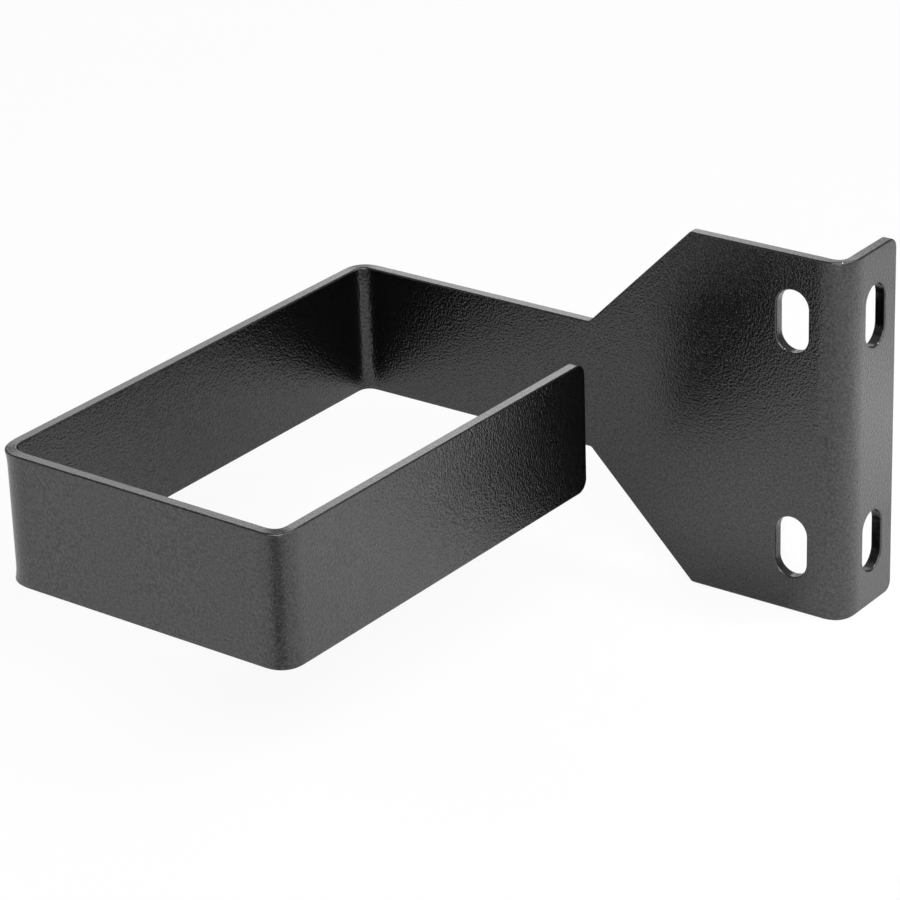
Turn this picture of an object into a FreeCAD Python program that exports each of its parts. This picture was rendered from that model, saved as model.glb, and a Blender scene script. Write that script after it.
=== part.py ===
import FreeCAD, Part
import Sketcher
import math
import os

# D-ring cable hook: one steel sheet, punched flat, folded four times and coated.
# X runs along the plate, Y from the ring's side to the flange's side, Z up.
# The origin is the middle of the flange's two slots, on the flange's outer face.

doc = FreeCAD.newDocument("d_ring_cable_hook")

# Driving dimensions in millimetres
dimensions = {
    "sheet_thickness": 2.2,
    "slot_width": 6.6,
    "slot_length": 12.0,
    "slot_pitch": 44.45,
    "slot_end_margin": 6.775,
    "flange_fold_radius": 3.0,
    "flange_slot_land": 1.8,
    "flange_slot_edge": 3.8,
    "plate_slot_land": 2.6,
    "plate_flat": 17.5,
    "strap_height": 25.4,
    "ring_setback": 45.4,
    "ring_width": 60.0,
    "ring_depth": 100.0,
    "ring_fold_radius": 2.0,
    "mouth_gap": 15.0,
    "flange_corner_radius": 2.0,
    "plate_corner_radius": 1.0,
    "neck_radius": 1.0,
    "tip_corner_radius": 2.5,
    "edge_radius": 0.25,
}
sizes = doc.addObject("Spreadsheet::Sheet", "sizes")
for row, (alias, value) in enumerate(dimensions.items(), start=1):
    sizes.set(f"A{row}", alias.replace("_", " "))
    sizes.set(f"B{row}", str(value))
    sizes.setAlias(f"B{row}", alias)
doc.recompute()

# Sizes that follow from the driving ones, as expressions on the sheet
FLANGE_OUTER_RADIUS = "(sizes.flange_fold_radius + sizes.sheet_thickness)"
RING_OUTER_RADIUS = "(sizes.ring_fold_radius + sizes.sheet_thickness)"
PLATE_HEIGHT = "(sizes.slot_pitch + sizes.slot_length + 2 * sizes.slot_end_margin)"
TAPER = f"(({PLATE_HEIGHT} - sizes.strap_height) / 2)"
PLATE_SLOT_X = f"({FLANGE_OUTER_RADIUS} + sizes.plate_slot_land + sizes.slot_width / 2)"
TAPER_START = f"({PLATE_SLOT_X} + sizes.slot_width / 2 + sizes.plate_flat)"
PLATE_END = f"({TAPER_START} + {TAPER})"
FLANGE_SLOT_Y = f"({FLANGE_OUTER_RADIUS} + sizes.flange_slot_land + sizes.slot_width / 2)"
FLANGE_WIDTH = f"({FLANGE_SLOT_Y} + sizes.slot_width / 2 + sizes.flange_slot_edge)"
RING_REACH = "(sizes.ring_setback + sizes.ring_width + 2 * sizes.sheet_thickness)"
RING_BACK = "(sizes.ring_depth + sizes.sheet_thickness)"
SLOT_STRAIGHT = "(sizes.slot_length - sizes.slot_width)"

# A sketch counts the points of a line or arc up from 1 and its own axes down from -1.
# Its origin is the start of its level axis.
START, END, CENTRE = range(1, 4)
X_AXIS, Y_AXIS = range(-1, -3, -1)
ORIGIN = (X_AXIS, START)

# Edges whose places differ by less than this are taken to lie at the same place
SAME_PLACE = 0.001

# A pair of slots takes its own volume out of the sheet, to within this share
CUT_TOLERANCE = 0.01


def size(expression):
    """The present value of an expression on the sheet, in millimetres."""
    return float(sizes.evalExpression(expression))


def origin_feature(role):
    """The hook's own origin plane or axis of that role."""
    return next(item for item in hook.Origin.OriginFeatures if item.Role == role)


def new_sketch(name, plane):
    """An empty sketch on one of the hook's origin planes."""
    sketch = hook.newObject("Sketcher::SketchObject", name)
    sketch.AttachmentSupport = [(origin_feature(plane), "")]
    sketch.MapMode = "FlatFace"
    return sketch


def constrain(sketch, kind, *place):
    """A constraint of form, with no size of its own."""
    sketch.addConstraint(Sketcher.Constraint(kind, *place))


def bind(sketch, name, expression, kind, *place):
    """A dimension of a sketch, tied to the sheet."""
    index = sketch.addConstraint(Sketcher.Constraint(kind, *place, size(expression)))
    sketch.renameConstraint(index, name)
    sketch.setExpression(f"Constraints.{name}", expression)


def add_outline(sketch, corners):
    """Draws a closed outline of level and upright lines through corners given as (x, y, fold radius).

    A corner with a radius becomes a tangent arc. Returns the lines, each numbered as the corner
    that it starts from, and the arcs by the number of their corner.
    """
    count = len(corners)
    points = [FreeCAD.Vector(x, y, 0) for x, y, radius in corners]
    headings = [(points[(n + 1) % count] - points[n]).normalize() for n in range(count)]
    starts = [points[n] + headings[n] * corners[n][2] for n in range(count)]
    ends = [points[n] - headings[n - 1] * corners[n][2] for n in range(count)]
    lines = []
    for n in range(count):
        lines.append(sketch.addGeometry(Part.LineSegment(starts[n], ends[(n + 1) % count])))
        constrain(sketch, "Vertical" if abs(headings[n].y) > abs(headings[n].x) else "Horizontal", lines[n])
    arcs = {}
    for n, (x, y, radius) in enumerate(corners):
        if radius == 0:
            constrain(sketch, "Coincident", lines[n - 1], END, lines[n], START)
            continue
        centre = starts[n] + ends[n] - points[n]
        middle = centre + (points[n] - centre).normalize() * radius
        arcs[n] = sketch.addGeometry(Part.Arc(ends[n], middle, starts[n]))
        turns_left = headings[n - 1].cross(headings[n]).z > 0
        first, last = (START, END) if turns_left else (END, START)
        constrain(sketch, "Tangent", lines[n - 1], END, arcs[n], first)
        constrain(sketch, "Tangent", arcs[n], last, lines[n], START)
    return lines, arcs


def add_pad(name, profile, height):
    """A profile raised by half of its height to each side of the middle plane."""
    pad = hook.newObject("PartDesign::Pad", name)
    pad.Profile = profile
    pad.SideType = "Symmetric"
    pad.setExpression("Length", height)
    doc.recompute()


def corner_edges(along, height, **place):
    """Names of the sheet's edges along an axis, at the given places and half that height up and down."""
    names = []
    for number, edge in enumerate(hook.Tip.Shape.Edges, start=1):
        middle = edge.CenterOfMass
        offsets = [getattr(middle, axis) - value for axis, value in place.items()]
        offsets.append(abs(middle.z) - height / 2)
        parallel = abs(edge.tangentAt(edge.FirstParameter).dot(along)) > 1 - SAME_PLACE
        if parallel and max(map(abs, offsets)) < SAME_PLACE:
            names.append(f"Edge{number}")
    return names


def round_edges(name, edges, radius):
    """A fillet over the named edges of the latest feature, or over all sharp ones where none are named."""
    base = hook.Tip
    fillet = hook.newObject("PartDesign::Fillet", name)
    fillet.Base = (base, edges)
    fillet.UseAllEdges = not edges
    fillet.setExpression("Radius", radius)
    doc.recompute()


def cut_slots(name, plane, side, across):
    """Two upright slots with round ends, one pitch apart, through the sheet that lies behind the plane.

    The lower slot stands that far across the plane, on its plus or minus side, and is repeated upwards.
    """
    base_volume = hook.Tip.Shape.Volume
    sketch = new_sketch(f"{name}_outline", plane)
    radius = size("sizes.slot_width / 2")
    middle = side * size(across)
    upper = size(f"({SLOT_STRAIGHT} - sizes.slot_pitch) / 2")
    lower = upper - size(SLOT_STRAIGHT)
    corner = [
        FreeCAD.Vector(middle + radius, lower, 0),
        FreeCAD.Vector(middle + radius, upper, 0),
        FreeCAD.Vector(middle - radius, upper, 0),
        FreeCAD.Vector(middle - radius, lower, 0),
    ]
    right = sketch.addGeometry(Part.LineSegment(corner[0], corner[1]))
    top = sketch.addGeometry(Part.Arc(corner[1], FreeCAD.Vector(middle, upper + radius, 0), corner[2]))
    left = sketch.addGeometry(Part.LineSegment(corner[2], corner[3]))
    bottom = sketch.addGeometry(Part.Arc(corner[3], FreeCAD.Vector(middle, lower - radius, 0), corner[0]))
    outline = [right, top, left, bottom]
    for n, piece in enumerate(outline):
        constrain(sketch, "Tangent", outline[n - 1], END, piece, START)
    constrain(sketch, "Vertical", right)
    constrain(sketch, "Vertical", left)
    bind(sketch, "end_radius", "sizes.slot_width / 2", "Radius", top)
    bind(sketch, "straight", SLOT_STRAIGHT, "DistanceY", bottom, CENTRE, top, CENTRE)
    bind(sketch, "drop", f"(sizes.slot_pitch - {SLOT_STRAIGHT}) / 2", "DistanceY", top, CENTRE, *ORIGIN)
    ways = (*ORIGIN, top, CENTRE) if side > 0 else (top, CENTRE, *ORIGIN)
    bind(sketch, "across", across, "DistanceX", *ways)
    doc.recompute()

    pocket = hook.newObject("PartDesign::Pocket", f"{name}_lower")
    pocket.Profile = sketch
    pocket.Type = "ThroughAll"
    doc.recompute()
    pair = hook.newObject("PartDesign::LinearPattern", name)
    pair.Originals = [pocket]
    pair.Direction = (origin_feature("Z_Axis"), [""])
    pair.Mode = "Extent"
    pair.Occurrences = 2
    pair.setExpression("Length", "sizes.slot_pitch")
    hook.Tip = pair
    doc.recompute()

    slot_area = 2 * radius * size(SLOT_STRAIGHT) + math.pi * radius**2
    pair_volume = 2 * slot_area * size("sizes.sheet_thickness")
    cut_volume = base_volume - pair.Shape.Volume
    if abs(cut_volume / pair_volume - 1) > CUT_TOLERANCE:
        raise RuntimeError(f"{name}: cut {cut_volume:.1f} mm3 away")


hook = doc.addObject("PartDesign::Body", "cable_hook")
hook.Label = "cable_hook"
hook.setExpression("Placement.Base.y", f"-{FLANGE_SLOT_Y}")
doc.recompute()

# Plate and flange: an angle seen from above, raised to the plate's full height.
# Both faces of the fold turn about one centre, so the sheet keeps its thickness.
thickness = size("sizes.sheet_thickness")
plate_profile = new_sketch("plate_profile", "XY_Plane")
lines, arcs = add_outline(
    plate_profile,
    [
        (-size(PLATE_END), 0, 0),
        (0, 0, size(FLANGE_OUTER_RADIUS)),
        (0, size(FLANGE_WIDTH), 0),
        (-thickness, size(FLANGE_WIDTH), 0),
        (-thickness, thickness, size("sizes.flange_fold_radius")),
        (-size(PLATE_END), thickness, 0),
    ],
)
constrain(plate_profile, "Coincident", arcs[1], CENTRE, arcs[4], CENTRE)
constrain(plate_profile, "PointOnObject", lines[0], START, X_AXIS)
constrain(plate_profile, "PointOnObject", lines[1], END, Y_AXIS)
bind(plate_profile, "plate_end", PLATE_END, "DistanceX", lines[0], START, *ORIGIN)
bind(plate_profile, "flange_width", FLANGE_WIDTH, "DistanceY", *ORIGIN, lines[1], END)
bind(plate_profile, "fold_radius", "sizes.flange_fold_radius", "Radius", arcs[4])
bind(plate_profile, "thickness", "sizes.sheet_thickness", "DistanceY", lines[5], END, lines[5], START)
add_pad("plate", plate_profile, PLATE_HEIGHT)

# Tapers at 45 degrees, from the plate's height down to the strap's
X_DIRECTION = FreeCAD.Vector(1, 0, 0)
Y_DIRECTION = FreeCAD.Vector(0, 1, 0)
plate = hook.Tip
plate_end_edges = corner_edges(Y_DIRECTION, size(PLATE_HEIGHT), x=-size(PLATE_END))
tapers = hook.newObject("PartDesign::Chamfer", "tapers")
tapers.Base = (plate, plate_end_edges)
tapers.setExpression("Size", TAPER)
doc.recompute()

# Ring: the strap runs on from the tapers, folds three times and ends short of the plate.
# Its three folds have one radius, and each pair of faces turns about one centre.
ring_profile = new_sketch("ring_profile", "XY_Plane")
fold_inside = size("sizes.ring_fold_radius")
fold_outside = size(RING_OUTER_RADIUS)
near_face = -size("sizes.ring_setback")
far_face = -size(RING_REACH)
lines, arcs = add_outline(
    ring_profile,
    [
        (-size(PLATE_END), thickness, 0),
        (far_face, thickness, fold_outside),
        (far_face, -size(RING_BACK), fold_outside),
        (near_face, -size(RING_BACK), fold_outside),
        (near_face, -size("sizes.mouth_gap"), 0),
        (near_face - thickness, -size("sizes.mouth_gap"), 0),
        (near_face - thickness, -size("sizes.ring_depth"), fold_inside),
        (far_face + thickness, -size("sizes.ring_depth"), fold_inside),
        (far_face + thickness, 0, fold_inside),
        (-size(PLATE_END), 0, 0),
    ],
)
for outer, inner in ((1, 8), (2, 7), (3, 6)):
    constrain(ring_profile, "Coincident", arcs[outer], CENTRE, arcs[inner], CENTRE)
constrain(ring_profile, "Equal", arcs[8], arcs[7])
constrain(ring_profile, "Equal", arcs[7], arcs[6])
constrain(ring_profile, "PointOnObject", lines[9], START, X_AXIS)
bind(ring_profile, "plate_end", PLATE_END, "DistanceX", lines[9], START, *ORIGIN)
bind(ring_profile, "thickness", "sizes.sheet_thickness", "DistanceY", lines[9], START, lines[9], END)
bind(ring_profile, "fold_radius", "sizes.ring_fold_radius", "Radius", arcs[8])
bind(ring_profile, "setback", "sizes.ring_setback", "DistanceX", lines[3], END, *ORIGIN)
bind(ring_profile, "width", "sizes.ring_width", "DistanceX", lines[7], START, lines[5], END)
bind(ring_profile, "depth", "sizes.ring_depth", "DistanceY", lines[6], START, *ORIGIN)
bind(ring_profile, "mouth", "sizes.mouth_gap", "DistanceY", lines[3], END, *ORIGIN)
add_pad("ring", ring_profile, "sizes.strap_height")

# Rounded corners of the punched outline
flange_corners = corner_edges(X_DIRECTION, size(PLATE_HEIGHT), y=size(FLANGE_WIDTH))
round_edges("flange_corners", flange_corners, "sizes.flange_corner_radius")
plate_corners = corner_edges(Y_DIRECTION, size(PLATE_HEIGHT), x=-size(TAPER_START))
round_edges("plate_corners", plate_corners, "sizes.plate_corner_radius")
neck_corners = corner_edges(Y_DIRECTION, size("sizes.strap_height"), x=-size(PLATE_END))
round_edges("neck_corners", neck_corners, "sizes.neck_radius")
tip_corners = corner_edges(X_DIRECTION, size("sizes.strap_height"), y=-size("sizes.mouth_gap"))
round_edges("tip_corners", tip_corners, "sizes.tip_corner_radius")

# The coat leaves the outline's edges a little round
round_edges("soft_edges", [], "sizes.edge_radius")

# Screw slots, two in the plate and two in the flange
cut_slots("plate_slots", "XZ_Plane", -1, PLATE_SLOT_X)
cut_slots("flange_slots", "YZ_Plane", 1, FLANGE_SLOT_Y)

failed = [item.Name for item in doc.Objects if {"Invalid", "Error"} & set(item.State)]
if failed:
    raise RuntimeError(f"failed features: {failed}")
if hook.Shape.isNull() or not hook.Shape.isValid() or len(hook.Shape.Solids) != 1:
    raise RuntimeError("the hook is not one valid solid")
os.makedirs("parts", exist_ok=True)
hook.Shape.exportStep(f"parts/{hook.Label}.step")
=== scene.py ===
import math

import bmesh
import bpy
from mathutils import Matrix, Vector


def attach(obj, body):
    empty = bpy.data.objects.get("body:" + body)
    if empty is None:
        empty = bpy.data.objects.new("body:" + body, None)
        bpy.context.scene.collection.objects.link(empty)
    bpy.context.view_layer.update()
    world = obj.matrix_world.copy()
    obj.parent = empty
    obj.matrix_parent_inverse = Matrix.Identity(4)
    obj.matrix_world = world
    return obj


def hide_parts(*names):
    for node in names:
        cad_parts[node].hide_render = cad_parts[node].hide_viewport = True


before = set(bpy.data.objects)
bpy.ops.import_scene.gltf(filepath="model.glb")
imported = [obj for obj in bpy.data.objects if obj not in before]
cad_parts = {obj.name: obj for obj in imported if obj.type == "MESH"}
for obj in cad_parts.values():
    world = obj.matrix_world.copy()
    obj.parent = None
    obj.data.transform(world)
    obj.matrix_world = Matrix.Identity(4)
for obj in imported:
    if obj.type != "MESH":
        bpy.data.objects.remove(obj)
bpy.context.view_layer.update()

# The blank: one sheet of steel, punched flat. It is a tall plate at one end, which narrows
# over two tapers at 45 degrees to a long strap. Four screw slots are punched with the outline,
# and the coat leaves every cut edge a little round.
MM = 0.001
QUARTER = math.pi / 2
SHEET = 2.2 * MM
EDGE_RADIUS = 0.32 * MM
EDGE_STEPS = 3
ARC_STEP = math.radians(6)

# A pressed fold eases in and out, so it takes up more of the blank than a plain quarter arc of
# its inner radius would. The ring's left corner is the roundest.
FLANGE_BEND = 3.0 * MM
RING_BEND = 2.0 * MM
FLANGE_EASE = 1.25
RING_EASE = 1.45
LEFT_EASE = 1.95
FOLD_SOFTNESS = 0.5
FOLD_CUTS = 24


def fold_length(ease, inner_radius):
    """How much of the blank a fold takes up, along the middle of the sheet."""
    return ease * QUARTER * (inner_radius + SHEET / 2)


def eased(share):
    """How far a fold has turned, from 0 to 1, at a share of its length."""
    return share - FOLD_SOFTNESS * math.sin(2 * math.pi * share) / (2 * math.pi)


FLANGE_FOLD = fold_length(FLANGE_EASE, FLANGE_BEND)
RING_FOLD = fold_length(RING_EASE, RING_BEND)
LEFT_FOLD = fold_length(LEFT_EASE, RING_BEND)

# One square fold of length 1, walked in small steps: how far ahead, how far aside, how far turned.
# The setback is how far a fold starts before its corner, as a share of the fold's length.
fold_walk = [(0.0, 0.0, 0.0)]
for walk_step in range(FOLD_CUTS):
    walk_ahead, walk_aside, _ = fold_walk[-1]
    middle_turn = QUARTER * eased((walk_step + 0.5) / FOLD_CUTS)
    end_turn = QUARTER * eased((walk_step + 1) / FOLD_CUTS)
    walk_ahead += math.cos(middle_turn) / FOLD_CUTS
    walk_aside += math.sin(middle_turn) / FOLD_CUTS
    fold_walk.append((walk_ahead, walk_aside, end_turn))
SETBACK = fold_walk[-1][0]

# The walls' lengths from corner to corner, at the middle of the sheet, and the turns of the folds
# between them, as shares of a square corner. The flange's fold turns the other way, and the
# ring's three are a fraction of a degree off square.
FLANGE = 16.3 * MM
PLATE_AND_STRAP = 107.6 * MM
FAR_WALL = 102.3 * MM
FRONT_WALL = 62.2 * MM
FREE_WALL = 86.1 * MM
SQUARE = 90
STRAIGHT = 0
FLANGE_TURN = -1
FAR_TURN = 89.75 / SQUARE
LEFT_TURN = 89.25 / SQUARE
RIGHT_TURN = 90.25 / SQUARE
runs = [
    (FLANGE - SETBACK * FLANGE_FOLD, STRAIGHT),
    (FLANGE_FOLD, FLANGE_TURN),
    (PLATE_AND_STRAP - SETBACK * (FLANGE_FOLD + RING_FOLD), STRAIGHT),
    (RING_FOLD, FAR_TURN),
    (FAR_WALL - SETBACK * (RING_FOLD + LEFT_FOLD), STRAIGHT),
    (LEFT_FOLD, LEFT_TURN),
    (FRONT_WALL - SETBACK * (LEFT_FOLD + RING_FOLD), STRAIGHT),
    (RING_FOLD, RIGHT_TURN),
    (FREE_WALL - SETBACK * RING_FOLD, STRAIGHT),
]
BLANK_LENGTH = sum(length for length, turn in runs)

# Places along the plate count from the flange's outer face, and those on the flange from its end
PLATE_START = FLANGE + FLANGE_FOLD - 2 * SETBACK * FLANGE_FOLD - SHEET / 2
PLATE_HALF_HEIGHT = 35.0 * MM
STRAP_HALF_HEIGHT = 12.7 * MM
TAPER_START = PLATE_START + 32.6 * MM
TAPER_END = PLATE_START + 54.9 * MM
FLANGE_CORNER = 2.0 * MM
PLATE_CORNER = 1.0 * MM
NECK_CORNER = 1.0 * MM
TIP_CORNER = 2.5 * MM
SLOT_HALF_WIDTH = 3.3 * MM
SLOT_HALF_LENGTH = 6.0 * MM
SLOT_HEIGHT = 22.225 * MM
FLANGE_SLOT = 7.1 * MM
PLATE_SLOT = PLATE_START + 11.1 * MM


def rounded_outline(corners):
    """The points of a closed outline through corners given as (along, up, radius)."""
    points = []
    for number, (along, up, radius) in enumerate(corners):
        here = Vector((along, up))
        before = (Vector(corners[number - 1][:2]) - here).normalized()
        after = (Vector(corners[(number + 1) % len(corners)][:2]) - here).normalized()
        half_angle = before.angle(after) / 2
        centre = here + (before + after).normalized() * radius / math.sin(half_angle)
        first_spoke = here + before * radius / math.tan(half_angle) - centre
        last_spoke = here + after * radius / math.tan(half_angle) - centre
        arc = first_spoke.angle_signed(last_spoke)
        steps = math.ceil(abs(arc) / ARC_STEP)
        for step in range(steps + 1):
            spoke = Matrix.Rotation(-arc * step / steps, 2) @ first_spoke
            points.append(centre + spoke)
    return points


upper_edge = [
    (0.0, PLATE_HALF_HEIGHT, FLANGE_CORNER),
    (TAPER_START, PLATE_HALF_HEIGHT, PLATE_CORNER),
    (TAPER_END, STRAP_HALF_HEIGHT, NECK_CORNER),
    (BLANK_LENGTH, STRAP_HALF_HEIGHT, TIP_CORNER),
]
lower_edge = [(along, -up, radius) for along, up, radius in reversed(upper_edge)]
outlines = [rounded_outline(upper_edge + lower_edge)]
for slot_along in (FLANGE_SLOT, PLATE_SLOT):
    for slot_up in (SLOT_HEIGHT, -SLOT_HEIGHT):
        left, right = slot_along - SLOT_HALF_WIDTH, slot_along + SLOT_HALF_WIDTH
        bottom, top = slot_up - SLOT_HALF_LENGTH, slot_up + SLOT_HALF_LENGTH
        slot_corners = [(left, bottom), (right, bottom), (right, top), (left, top)]
        outlines.append(rounded_outline([(*corner, SLOT_HALF_WIDTH) for corner in slot_corners]))

punching = bpy.data.curves.new("punching", "CURVE")
punching.dimensions = "2D"
punching.fill_mode = "BOTH"
punching.extrude = SHEET / 2 - EDGE_RADIUS
punching.bevel_depth = EDGE_RADIUS
punching.bevel_resolution = EDGE_STEPS
punching.offset = -EDGE_RADIUS
for outline in outlines:
    spline = punching.splines.new("POLY")
    spline.points.add(len(outline) - 1)
    for spline_point, outline_point in zip(spline.points, outline):
        spline_point.co = (outline_point.x, outline_point.y, 0, 1)
    spline.use_cyclic_u = True
punched = bpy.data.objects.new("punched", punching)
sheet_mesh = bpy.data.meshes.new_from_object(punched)
sheet_mesh.name = "cable_hook_sheet"
bpy.data.objects.remove(punched)

# The folds: one turns the flange square to the plate, and three turn the strap into a ring that
# stays open at its free end. They are pressed over a tight radius, so at each fold the sheet's
# rims flare a little out of the bend, swell at its inside and draw in at its outside.
RIM_FLARE = 0.35 * MM
RIM_SWELL = 0.12 * MM
RIM_REACH = 3.2 * MM
RIM_CUTS = 6
SHEET_WELD = 0.002 * MM
CUT_SNAP = 0.001 * MM
QUAD = 4
# The way that a cut across the blank faces, and a cut along it
ACROSS = (1, 0, 0)
LENGTHWISE = (0, 1, 0)
# Where the blank starts, at the flange's end: x, y and heading
FLANGE_END = (-SHEET / 2, FLANGE_SLOT, -QUARTER)


def folded(along):
    """Where a place along the blank comes to lie: x, y, heading and how sharply it is bent there."""
    x, y, heading = FLANGE_END
    left_to_go = along
    for number, (length, turn) in enumerate(runs):
        in_last_run = number == len(runs) - 1
        gone = left_to_go if in_last_run else min(left_to_go, length)
        if turn:
            steps = gone / length * FOLD_CUTS
            step = min(int(steps), FOLD_CUTS - 1)
            between = steps - step
            walked = [a + (b - a) * between for a, b in zip(fold_walk[step], fold_walk[step + 1])]
            ahead, aside = length * walked[0], length * walked[1] * turn
            heading_change = walked[2] * turn
            bend = turn * math.sin(math.pi * gone / length) ** 2
        else:
            ahead, aside, heading_change, bend = gone, 0.0, 0.0, 0.0
        x += ahead * math.cos(heading) - aside * math.sin(heading)
        y += ahead * math.sin(heading) + aside * math.cos(heading)
        heading += heading_change
        left_to_go -= gone
        if left_to_go <= 0:
            break
    return x, y, heading, bend


def rim_height(along):
    """The height of the sheet's upper rim where the folds cross it."""
    return PLATE_HALF_HEIGHT if along < TAPER_START else STRAP_HALF_HEIGHT


def cut_sheet(pieces, place, direction):
    """Cuts the flat sheet's faces along a plane, so that they can bend there."""
    bmesh.ops.bisect_plane(sheet, geom=pieces, dist=CUT_SNAP, plane_co=place, plane_no=direction)


sheet = bmesh.new()
sheet.from_mesh(sheet_mesh)
bmesh.ops.remove_doubles(sheet, verts=sheet.verts, dist=SHEET_WELD)
run_start = 0.0
for run_length, run_turn in runs:
    run_end = run_start + run_length
    if run_turn:
        for fold_cut in range(FOLD_CUTS + 1):
            everything = sheet.verts[:] + sheet.edges[:] + sheet.faces[:]
            cut_sheet(everything, (run_start + run_length * fold_cut / FOLD_CUTS, 0, 0), ACROSS)
        flat_top = rim_height(run_start) - EDGE_RADIUS
        rim_step = (RIM_REACH - EDGE_RADIUS) / RIM_CUTS
        upper_cuts = [flat_top - rim_step * rim_cut for rim_cut in range(RIM_CUTS + 1)]
        for height in upper_cuts + [-height for height in upper_cuts]:
            fold_faces = [f for f in sheet.faces if run_start < f.calc_center_median().x < run_end]
            fold_edges = dict.fromkeys(edge for face in fold_faces for edge in face.edges)
            fold_points = dict.fromkeys(point for face in fold_faces for point in face.verts)
            cut_sheet([*fold_points, *fold_edges, *fold_faces], (0, height, 0), LENGTHWISE)
    run_start = run_end
bmesh.ops.triangulate(sheet, faces=[face for face in sheet.faces if len(face.verts) > QUAD])
sheet.normal_update()

# Each point moves to its place in the folded sheet. Its normal is worked out with it, so that
# folds and rounded edges shade smoothly. Rise is 0 on the cut edge and 1 on the sheet's faces.
sheet_normals = []
cut_shares = []
for vertex in sheet.verts:
    along, up, depth = vertex.co
    rise = (abs(depth) - (SHEET / 2 - EDGE_RADIUS)) / EDGE_RADIUS
    rise = min(max(rise, 0.0), 1.0)
    cut_shares.append(1 - rise)
    outward = Vector((vertex.normal.x, vertex.normal.y))
    if outward.length > 0:
        outward.normalize()
    outward *= math.sqrt(1 - rise * rise)
    x, y, heading, bend = folded(along)
    ahead = Vector((math.cos(heading), math.sin(heading), 0))
    aside = Vector((math.sin(heading), -math.cos(heading), 0))
    reached = max(1 - (rim_height(along) - abs(up)) / RIM_REACH, 0.0)
    flare = RIM_FLARE * bend * reached ** 2
    flare_slope = math.copysign(2 * RIM_FLARE * bend * reached / RIM_REACH, up)
    swell_slope = math.copysign(RIM_SWELL * bend * reached ** 2 / (SHEET / 2), up)
    through = math.copysign(rise, depth) + swell_slope * outward.y
    upward = Vector((0, 0, outward.y - flare_slope * through))
    sheet_normals.append((ahead * outward.x + aside * through + upward).normalized())
    vertex.co = Vector((x, y, up - swell_slope * depth)) + aside * (depth + flare)
sheet.to_mesh(sheet_mesh)
sheet.free()
sheet_mesh.shade_smooth()
sheet_mesh.normals_split_custom_set_from_vertices(sheet_normals)
cut_edge = sheet_mesh.attributes.new("cut_edge", "FLOAT", "POINT")
cut_edge.data.foreach_set("value", cut_shares)
hook = bpy.data.objects.new("cable_hook_sheet", sheet_mesh)
bpy.context.scene.collection.objects.link(hook)
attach(hook, "root")
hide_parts("cable_hook")

# The coat: black powder, baked on in one layer. It has a satin sheen and the fine, leathery
# orange peel of such coats, and it lies a little unevenly over the sheet. On the cut edges it
# draws thin and comes out smoother.
COAT_BLACK = (0.0012, 0.0012, 0.0013, 1.0)
COAT_GREY = (0.0024, 0.0024, 0.0025, 1.0)
COAT_ROUGHNESS = (0.18, 0.24)
COAT_IOR = 1.75
COAT_SHINE = (0.34, 0.66)
GRAIN_RANGE = (0.3, 0.7)
PEEL_SIZE = 0.45 * MM
PEEL_HEIGHT = 0.130 * MM
GRAIN_SIZE = 0.22 * MM
GRAIN_SHARE = 0.25
GRAIN_DETAIL = 1.0
CLOUD_SIZE = 14.0 * MM
CLOUD_DETAIL = 2.0
EVEN_PEEL = 0.5
EDGE_EVENNESS = 0.6

coat = bpy.data.materials.new("black_powder_coat")
coat.use_nodes = True
coat_nodes = coat.node_tree.nodes
coat_links = coat.node_tree.links
coat_surface = coat_nodes["Principled BSDF"]
coat_surface.inputs["IOR"].default_value = COAT_IOR
coat_place = coat_nodes.new("ShaderNodeTexCoord")


def coat_unevenness(size, detail):
    """A noise of one size that lies over the whole sheet."""
    noise = coat_nodes.new("ShaderNodeTexNoise")
    noise.inputs["Scale"].default_value = 1 / size
    noise.inputs["Detail"].default_value = detail
    coat_links.new(coat_place.outputs["Object"], noise.inputs["Vector"])
    return noise


peel = coat_unevenness(PEEL_SIZE, GRAIN_DETAIL)
grain = coat_unevenness(GRAIN_SIZE, GRAIN_DETAIL)
cloud = coat_unevenness(CLOUD_SIZE, CLOUD_DETAIL)
peel_and_grain = coat_nodes.new("ShaderNodeMix")
peel_and_grain.inputs["Factor"].default_value = GRAIN_SHARE
coat_links.new(peel.outputs["Fac"], peel_and_grain.inputs["A"])
coat_links.new(grain.outputs["Fac"], peel_and_grain.inputs["B"])
at_cut_edge = coat_nodes.new("ShaderNodeAttribute")
at_cut_edge.attribute_name = "cut_edge"
evenness = coat_nodes.new("ShaderNodeMapRange")
evenness.inputs["To Max"].default_value = EDGE_EVENNESS
coat_links.new(at_cut_edge.outputs["Fac"], evenness.inputs["Value"])
relief = coat_nodes.new("ShaderNodeMix")
relief.inputs["B"].default_value = EVEN_PEEL
coat_links.new(evenness.outputs["Result"], relief.inputs["Factor"])
coat_links.new(peel_and_grain.outputs["Result"], relief.inputs["A"])
bump = coat_nodes.new("ShaderNodeBump")
bump.inputs["Distance"].default_value = PEEL_HEIGHT
coat_links.new(relief.outputs["Result"], bump.inputs["Height"])
coat_links.new(bump.outputs["Normal"], coat_surface.inputs["Normal"])
tone = coat_nodes.new("ShaderNodeValToRGB")
tone.color_ramp.elements[0].color = COAT_BLACK
tone.color_ramp.elements[1].color = COAT_GREY
coat_links.new(peel.outputs["Fac"], tone.inputs["Fac"])
coat_links.new(tone.outputs["Color"], coat_surface.inputs["Base Color"])
sheen = coat_nodes.new("ShaderNodeMapRange")
sheen.inputs["To Min"].default_value = COAT_ROUGHNESS[0]
sheen.inputs["To Max"].default_value = COAT_ROUGHNESS[1]
coat_links.new(cloud.outputs["Fac"], sheen.inputs["Value"])
coat_links.new(sheen.outputs["Result"], coat_surface.inputs["Roughness"])
shine = coat_nodes.new("ShaderNodeMapRange")
shine.inputs["From Min"].default_value = GRAIN_RANGE[0]
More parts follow.
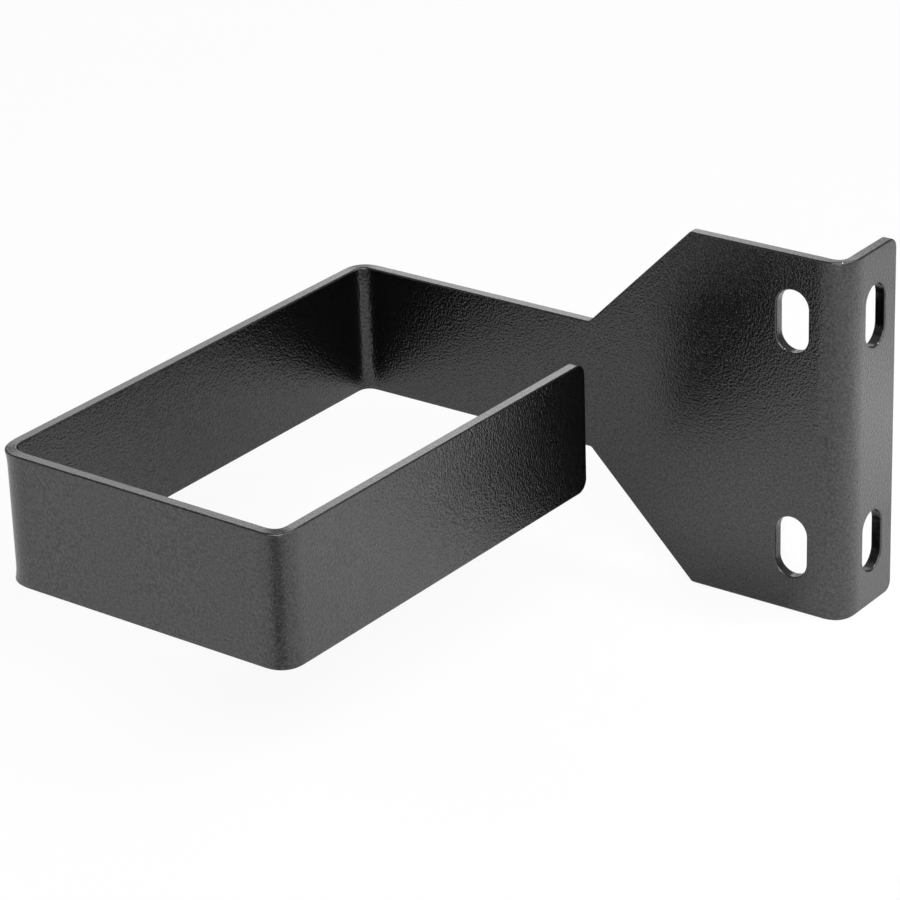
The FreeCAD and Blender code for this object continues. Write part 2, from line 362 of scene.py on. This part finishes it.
shine.inputs["From Max"].default_value = GRAIN_RANGE[1]
shine.inputs["To Min"].default_value = COAT_SHINE[0]
shine.inputs["To Max"].default_value = COAT_SHINE[1]
coat_links.new(relief.outputs["Result"], shine.inputs["Value"])
coat_links.new(shine.outputs["Result"], coat_surface.inputs["Specular IOR Level"])
sheet_mesh.materials.append(coat)

# The table: a round, matt white table that sweeps up into a low wall. It takes the lamps and
# keeps a little of the hook's soft shadow. The hook stands on its plate's lower rim, which swells
# a little at the flange's fold.
TABLE_LEVEL = -PLATE_HALF_HEIGHT - RIM_SWELL
TABLE_RADIUS = 1.2
TABLE_SEGMENTS = 96
TABLE_WELD = 0.01 * MM
SWEEP_RADIUS = 0.3
SWEEP_STEPS = 12
WALL_TOP = 0.35
profile = [(0.0, 0.0), (TABLE_RADIUS / 2, 0.0)]
for sweep_step in range(SWEEP_STEPS + 1):
    angle = QUARTER * sweep_step / SWEEP_STEPS
    from_middle = TABLE_RADIUS + SWEEP_RADIUS * math.sin(angle)
    profile.append((from_middle, SWEEP_RADIUS * (1 - math.cos(angle))))
profile.append((TABLE_RADIUS + SWEEP_RADIUS, WALL_TOP))
sweep = bmesh.new()
profile_points = [sweep.verts.new((radius, 0, height + TABLE_LEVEL)) for radius, height in profile]
profile_edges = [sweep.edges.new(pair) for pair in zip(profile_points, profile_points[1:])]
bmesh.ops.spin(
    sweep,
    geom=profile_points + profile_edges,
    cent=(0, 0, 0),
    axis=(0, 0, 1),
    angle=4 * QUARTER,
    steps=TABLE_SEGMENTS,
)
bmesh.ops.remove_doubles(sweep, verts=sweep.verts, dist=TABLE_WELD)
bmesh.ops.recalc_face_normals(sweep, faces=sweep.faces)
table_mesh = bpy.data.meshes.new("table")
sweep.to_mesh(table_mesh)
sweep.free()
table_mesh.shade_smooth()
table = bpy.data.objects.new("table", table_mesh)
bpy.context.scene.collection.objects.link(table)

# Most of what the camera sees of the table, and a part of what the coat mirrors, is plain white.
# Light that has already bounced between the walls finds no such white, and for it the table is
# painted dark: a painted shade that keeps the inner corners black.
TABLE_SEEN_WHITE = 0.9
TABLE_MIRRORED_WHITE = 0.2
TABLE_WHITE = (0.9, 0.9, 0.9, 1.0)
TABLE_PAINTED_SHADE = (0.04, 0.04, 0.04, 1.0)
FIRST_BOUNCE = 1.5
table_paint = bpy.data.materials.new("table_white")
table_paint.use_nodes = True
table_nodes = table_paint.node_tree.nodes
table_links = table_paint.node_tree.links
table_nodes.clear()
ray = table_nodes.new("ShaderNodeLightPath")
plain_white = None
for ray_kind, white_share in (
    ("Is Camera Ray", TABLE_SEEN_WHITE),
    ("Is Transmission Ray", TABLE_SEEN_WHITE),
    ("Is Glossy Ray", TABLE_MIRRORED_WHITE),
):
    ray_white = table_nodes.new("ShaderNodeMath")
    ray_white.operation = "MULTIPLY_ADD"
    ray_white.inputs[1].default_value = white_share
    ray_white.inputs[2].default_value = 0.0
    table_links.new(ray.outputs[ray_kind], ray_white.inputs[0])
    if plain_white:
        table_links.new(plain_white.outputs[0], ray_white.inputs[2])
    plain_white = ray_white
on_first_bounce = table_nodes.new("ShaderNodeMath")
on_first_bounce.operation = "LESS_THAN"
on_first_bounce.inputs[1].default_value = FIRST_BOUNCE
table_links.new(ray.outputs["Ray Depth"], on_first_bounce.inputs[0])
# Painted shade: past the first bounce the table's colour turns nearly black.
lightness = table_nodes.new("ShaderNodeValToRGB")
lightness.color_ramp.elements[0].color = TABLE_PAINTED_SHADE
lightness.color_ramp.elements[1].color = TABLE_WHITE
table_links.new(on_first_bounce.outputs[0], lightness.inputs["Fac"])
matt = table_nodes.new("ShaderNodeBsdfDiffuse")
table_links.new(lightness.outputs["Color"], matt.inputs["Color"])
glow = table_nodes.new("ShaderNodeEmission")
table_links.new(on_first_bounce.outputs[0], glow.inputs["Strength"])
matt_and_glow = table_nodes.new("ShaderNodeMixShader")
table_links.new(plain_white.outputs[0], matt_and_glow.inputs[0])
table_links.new(matt.outputs[0], matt_and_glow.inputs[1])
table_links.new(glow.outputs[0], matt_and_glow.inputs[2])
table_surface = table_nodes.new("ShaderNodeOutputMaterial")
table_links.new(matt_and_glow.outputs[0], table_surface.inputs["Surface"])
table_mesh.materials.append(table_paint)

# The cards: three grey cards on the table for the coat to mirror, out of the camera's sight,
# casting no shadow and lighting nothing. They are painted shade in the coat's reflections: the
# front one darkens the ring's right front corner, the one under the strap, a painted shadow of the
# strap, darkens the inside of the far wall, and the one at the plate's foot, a painted contact
# shadow, darkens the plate near the table.
CARD_ABOVE_TABLE = 0.2 * MM
CARD_LEVEL = TABLE_LEVEL + CARD_ABOVE_TABLE
CARD_ROUGHNESS = 0.9
CARD_CORNERS = ((-1, -1), (1, -1), (1, 1), (-1, 1))
# For each card: its middle, its half size and its grey
shade_cards = {
    "front_shade_card": ((0.010, -0.184), (0.052, 0.040), 0.31),
    "strap_shadow_card": ((-0.062, 0.000), (0.022, 0.026), 0.62),
    "foot_shadow_card": ((-0.027, -0.0190), (0.015, 0.0085), 0.72),
}
for card_name, (card_middle, card_half, grey) in shade_cards.items():
    card_mesh = bpy.data.meshes.new(card_name)
    card_points = [
        (card_middle[0] + card_half[0] * side, card_middle[1] + card_half[1] * end, CARD_LEVEL)
        for side, end in CARD_CORNERS
    ]
    card_mesh.from_pydata(card_points, [], [(0, 1, 2, 3)])
    card = bpy.data.objects.new(card_name, card_mesh)
    # Painted shade: only the coat's reflections see these cards.
    card.visible_camera = False
    card.visible_diffuse = False
    card.visible_shadow = False
    bpy.context.scene.collection.objects.link(card)
    shade_card_paint = bpy.data.materials.new(card_name + "_shade_paint")
    shade_card_paint.use_nodes = True
    shade_card_surface = shade_card_paint.node_tree.nodes["Principled BSDF"]
    shade_card_surface.inputs["Base Color"].default_value = (grey, grey, grey, 1.0)
    shade_card_surface.inputs["Roughness"].default_value = CARD_ROUGHNESS
    card_mesh.materials.append(shade_card_paint)

# The light: a dim white room, and two large softboxes over the table and the hook, one above the
# camera and one to the right. Behind the ring a softbox and a small lamp light the rims. A narrow
# beam brightens the table beside the flange, which mirrors it.
ROOM_WHITE = (1.0, 1.0, 1.0, 1.0)
ROOM_LEVEL = 0.34
RING_MIDDLE = (-0.06, -0.05, 0.0)
BESIDE_FLANGE = (0.055, 0.075, -0.035)
OPEN_SPREAD = math.radians(180)
NARROW_SPREAD = math.radians(14)
room = bpy.data.worlds.new("room")
room.use_nodes = True
room_background = room.node_tree.nodes["Background"]
room_background.inputs["Color"].default_value = ROOM_WHITE
room_background.inputs["Strength"].default_value = ROOM_LEVEL
bpy.context.scene.world = room
# For each lamp: where it stands, where it points, its width, height, spread and watts
lamps = {
    "key_softbox": ((0.60, -0.80, 0.80), RING_MIDDLE, 1.0, 1.0, OPEN_SPREAD, 13.7),
    "side_softbox": ((0.90, 0.20, 0.90), RING_MIDDLE, 1.0, 1.0, OPEN_SPREAD, 7.8),
    "back_softbox": ((-0.59, 0.61, 0.40), RING_MIDDLE, 0.46, 0.34, OPEN_SPREAD, 0.64),
    "rim_lamp": ((-0.545, 0.64, 0.37), RING_MIDDLE, 0.16, 0.14, OPEN_SPREAD, 0.08),
    "table_beam": ((0.20, 0.18, 0.90), BESIDE_FLANGE, 0.12, 0.12, NARROW_SPREAD, 0.11),
}
for lamp_name, (stand, aim, lamp_width, lamp_height, spread, watts) in lamps.items():
    light = bpy.data.lights.new(lamp_name, "AREA")
    light.shape = "RECTANGLE"
    light.size = lamp_width
    light.size_y = lamp_height
    light.spread = spread
    light.energy = watts
    lamp = bpy.data.objects.new(lamp_name, light)
    lamp.location = stand
    lamp.rotation_euler = (Vector(aim) - Vector(stand)).to_track_quat("-Z", "Y").to_euler()
    bpy.context.scene.collection.objects.link(lamp)

# The camera: it stands in front of the ring, to its right and above it. Its lens is long, and it
# leans a little to one side.
SENSOR_WIDTH = 36.0
LENS = 151.53
CAMERA_STAND = (0.31215, -0.54371, 0.28078)
CAMERA_DEGREES = (65.611, 1.774, 36.063)
camera = bpy.data.cameras.new("camera")
camera.sensor_width = SENSOR_WIDTH
camera.lens = LENS
camera_object = bpy.data.objects.new("camera", camera)
camera_object.location = CAMERA_STAND
camera_object.rotation_euler = [math.radians(degrees) for degrees in CAMERA_DEGREES]
bpy.context.scene.collection.objects.link(camera_object)
bpy.context.scene.camera = camera_object
bpy.context.scene.view_settings.view_transform = "Standard"
